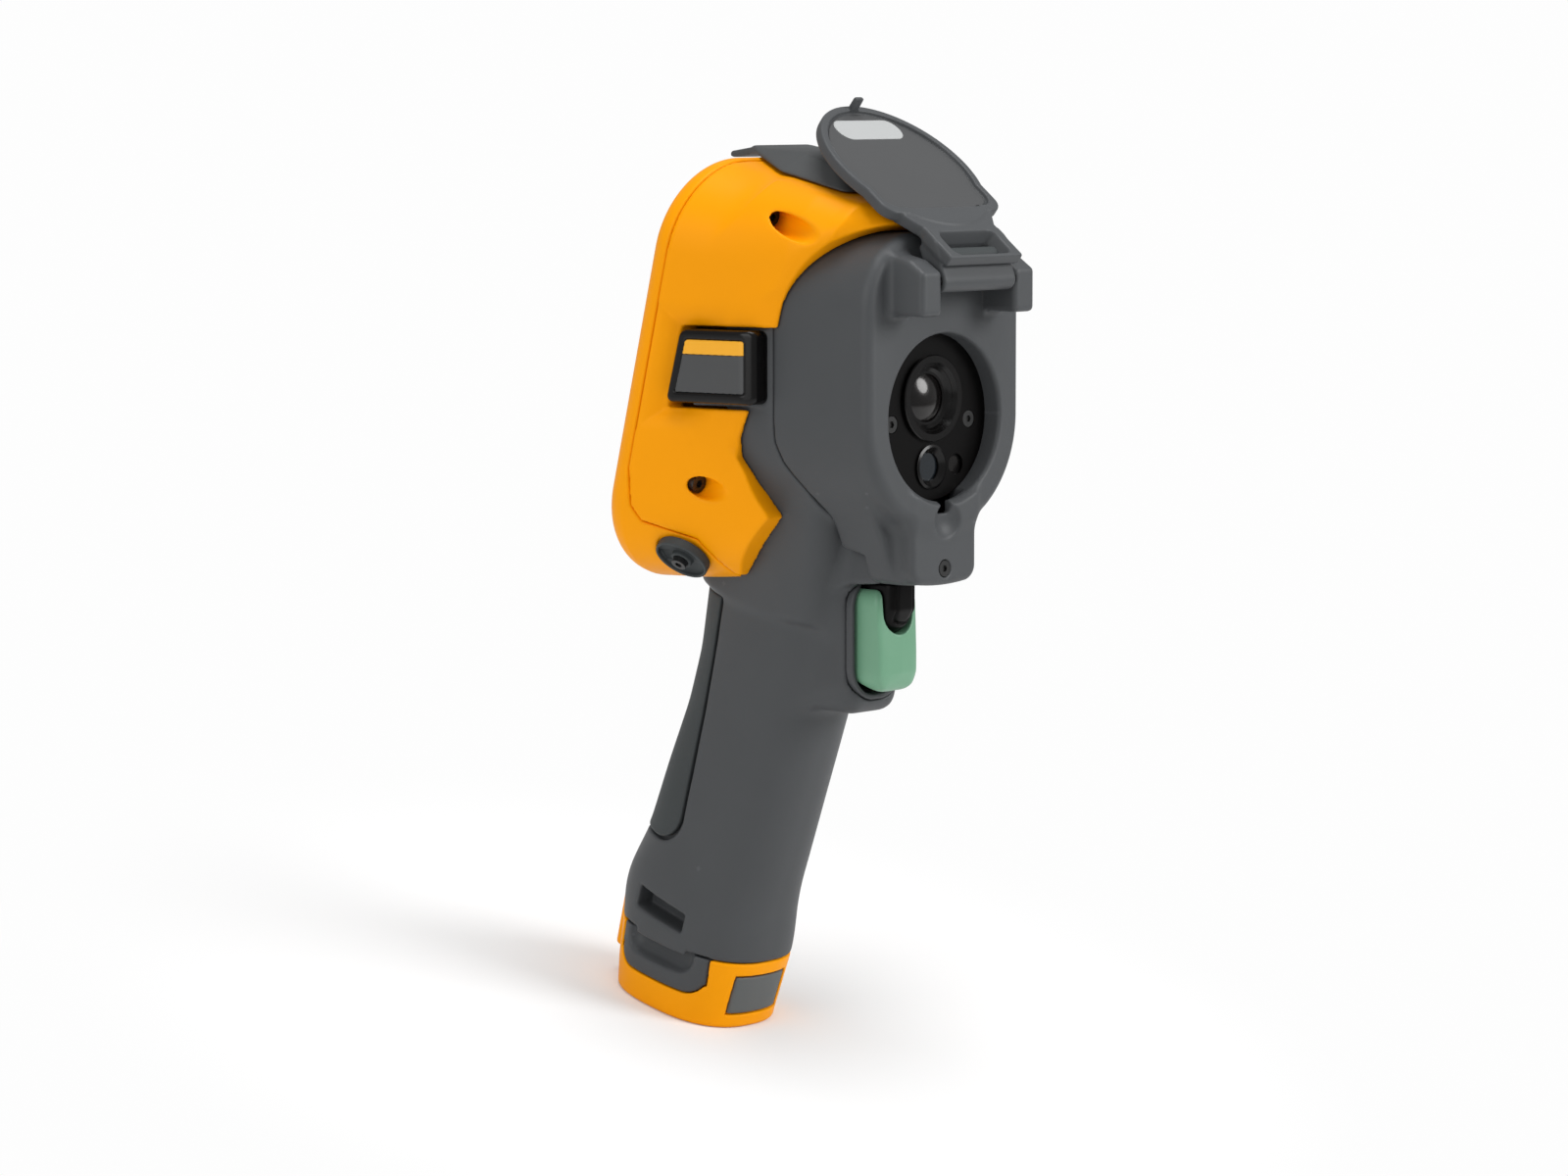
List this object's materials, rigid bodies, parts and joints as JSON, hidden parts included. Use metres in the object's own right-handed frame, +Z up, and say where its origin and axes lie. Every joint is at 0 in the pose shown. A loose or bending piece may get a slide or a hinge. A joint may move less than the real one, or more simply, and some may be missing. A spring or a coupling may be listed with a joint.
{
  "type": "thermal imaging camera",
  "caption": "Pistol-grip thermal imaging camera with a flip-up lens cover, rear screen with keys, two-stage trigger and slide-out battery.",
  "frame": {"origin": "middle of the flat underside of the battery, which the camera stands on", "axes": "+Z up from the underside to the head, -Y the way the lens looks (the lens axis points 14 degrees above it), +Y the way the screen faces, X across the width"},
  "size_m": [0.101, 0.1058, 0.2903],
  "materials": {
    "yellow": "fine-grained moulded plastic, satin",
    "grey": "fine-grained moulded plastic, matt",
    "soft_rubber": "smooth matt elastomer",
    "black": "semi-gloss black plastic",
    "green": "satin green plastic",
    "label_grey": "smooth printed label stock",
    "screen_glass": "clear window over a dark display",
    "lens_glass": "coated dark infrared lens",
    "steel": "plain turned steel",
    "alloy": "bare cast alloy",
    "board": "green circuit laminate",
    "cell_wrap": "shrink sleeve on a cell",
    "brass": "turned brass"
  },
  "bodies": {
    "housing": {"rear_frame": "yellow", "front_shell": "yellow", "rear_panel": "soft_rubber", "lcd_window": "screen_glass", "window_gasket": "black", "lcd_module": "alloy", "key_board": "board", "main_board": "board", "speaker": "black", "head_screws": "steel", "barrel_housing": "grey", "lens_plate": "black", "ir_lens_ring": "black", "ir_lens": "lens_glass", "ir_engine": "alloy", "camera_ring": "black", "camera_window": "screen_glass", "camera_module": "black", "laser_window": "lens_glass", "laser_module": "brass", "lens_screws": "steel", "chin_screw": "steel", "hinge_pin": "steel", "port_block": "black", "badge_frames": "black", "badge_labels": "label_grey", "strap_anchors": "black", "anchor_screws": "steel", "handle_housing": "grey", "grip_pad": "soft_rubber", "trigger_bezel": "grey", "trigger_pin": "steel", "primary_spring": "steel", "secondary_spring": "steel", "trigger_switches": "black", "contact_block": "black"},
    "cover": {"lens_cover": "grey", "cover_label": "label_grey"},
    "door": {"top_door": "soft_rubber"},
    "key_left": {"key_left": "grey"},
    "key_middle": {"key_middle": "grey"},
    "key_right": {"key_right": "grey"},
    "power_button": {"power_button": "green"},
    "primary_trigger": {"primary_trigger": "green"},
    "secondary_trigger": {"secondary_trigger": "black"},
    "battery": {"battery_base": "yellow", "battery_pack": "black", "battery_cells": "cell_wrap", "base_insert": "grey", "latch_spring_left": "steel", "latch_spring_right": "steel"},
    "latch_left": {"latch_left": "grey"},
    "latch_right": {"latch_right": "grey"}
  },
  "joints": [
    {"name": "cover_hinge", "type": "hinge", "parent": "housing", "child": "cover", "pos_m": [0, -0.05143, 0.24921], "axis": [1, 0, 0], "range_deg": [0, 231.5]},
    {"name": "door_hinge", "type": "hinge", "parent": "housing", "child": "door", "pos_m": [0, -0.0155, 0.2665], "axis": [1, 0, 0], "range_deg": [0, 18]},
    {"name": "primary_pull", "type": "hinge", "parent": "housing", "child": "primary_trigger", "pos_m": [0, -0.03452, 0.15378], "axis": [1, 0, 0], "range_deg": [0, 5.5], "stiffness_Nm_per_rad": 0.6, "springref_deg": -171.89, "deforming": ["primary_spring"]},
    {"name": "secondary_push", "type": "slide", "parent": "housing", "child": "secondary_trigger", "axis": [0, 0.9703, -0.2419], "range_m": [0, 0.0025], "stiffness_N_per_m": 800, "springref_m": -0.001, "deforming": ["secondary_spring"]},
    {"name": "battery_slide", "type": "slide", "parent": "housing", "child": "battery", "axis": [0, 0.0698, -0.9976], "range_m": [0, 0.1]},
    {"name": "latch_left_push", "type": "slide", "parent": "battery", "child": "latch_left", "axis": [-1, 0, 0], "range_m": [0, 0.0015], "stiffness_N_per_m": 1500, "springref_m": -0.001, "deforming": ["latch_spring_left"]},
    {"name": "latch_right_push", "type": "slide", "parent": "battery", "child": "latch_right", "axis": [1, 0, 0], "range_m": [0, 0.0015], "stiffness_N_per_m": 1500, "springref_m": -0.001, "deforming": ["latch_spring_right"]},
    {"name": "key_left_press", "type": "slide", "parent": "housing", "child": "key_left", "axis": [0, -1, 0], "range_m": [0, 0.0007], "stiffness_N_per_m": 1500, "springref_m": -0.0006},
    {"name": "key_middle_press", "type": "slide", "parent": "housing", "child": "key_middle", "axis": [0, -1, 0], "range_m": [0, 0.0007], "stiffness_N_per_m": 1500, "springref_m": -0.0006},
    {"name": "key_right_press", "type": "slide", "parent": "housing", "child": "key_right", "axis": [0, -1, 0], "range_m": [0, 0.0007], "stiffness_N_per_m": 1500, "springref_m": -0.0006},
    {"name": "power_button_press", "type": "slide", "parent": "housing", "child": "power_button", "axis": [0, -1, 0], "range_m": [0, 0.0007], "stiffness_N_per_m": 1500, "springref_m": -0.0006}
  ]
}
